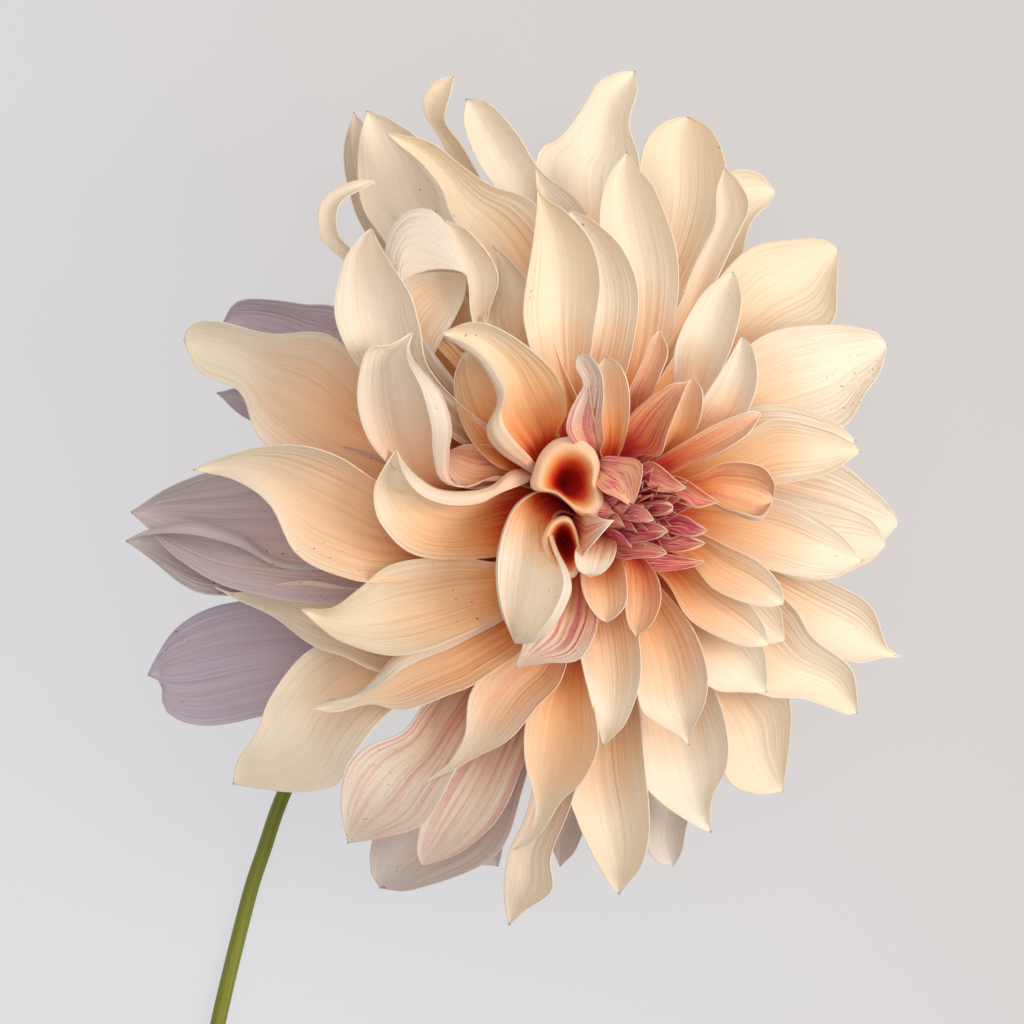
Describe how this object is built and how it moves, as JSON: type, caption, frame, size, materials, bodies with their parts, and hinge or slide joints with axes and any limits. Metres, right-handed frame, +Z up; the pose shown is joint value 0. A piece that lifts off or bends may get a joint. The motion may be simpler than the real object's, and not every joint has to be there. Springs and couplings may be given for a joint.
{
  "type": "cafe au lait dahlia",
  "caption": "Large shaggy cut dahlia laid face up: layers of curling cream and peach petals round a magenta eye, papery and green bracts behind, and a bare bent green stem.",
  "frame": {"origin": "on the surface that the flower lies on, under the middle of its bounding box", "axes": "+Z up from the surface; +Y to the top of the bloom as seen from above, away from the cut end; +X to the right, the way that the face of the bloom leans"},
  "size_m": [0.2187, 0.3667, 0.1287],
  "materials": {
    "petals": "soft satin petal, cream at the tips and peach to red-orange at the base",
    "eye": "soft satin, magenta streaked with yellow-cream",
    "scales": "papery, pale green to straw",
    "bracts": "satin leaf green",
    "stem": "smooth fresh green, olive to the cut end"
  },
  "bodies": {
    "root": {"ray_florets": "petals", "eye_florets": "eye", "inner_bracts": "scales", "outer_bracts": "bracts", "stem": "stem"}
  },
  "joints": []
}
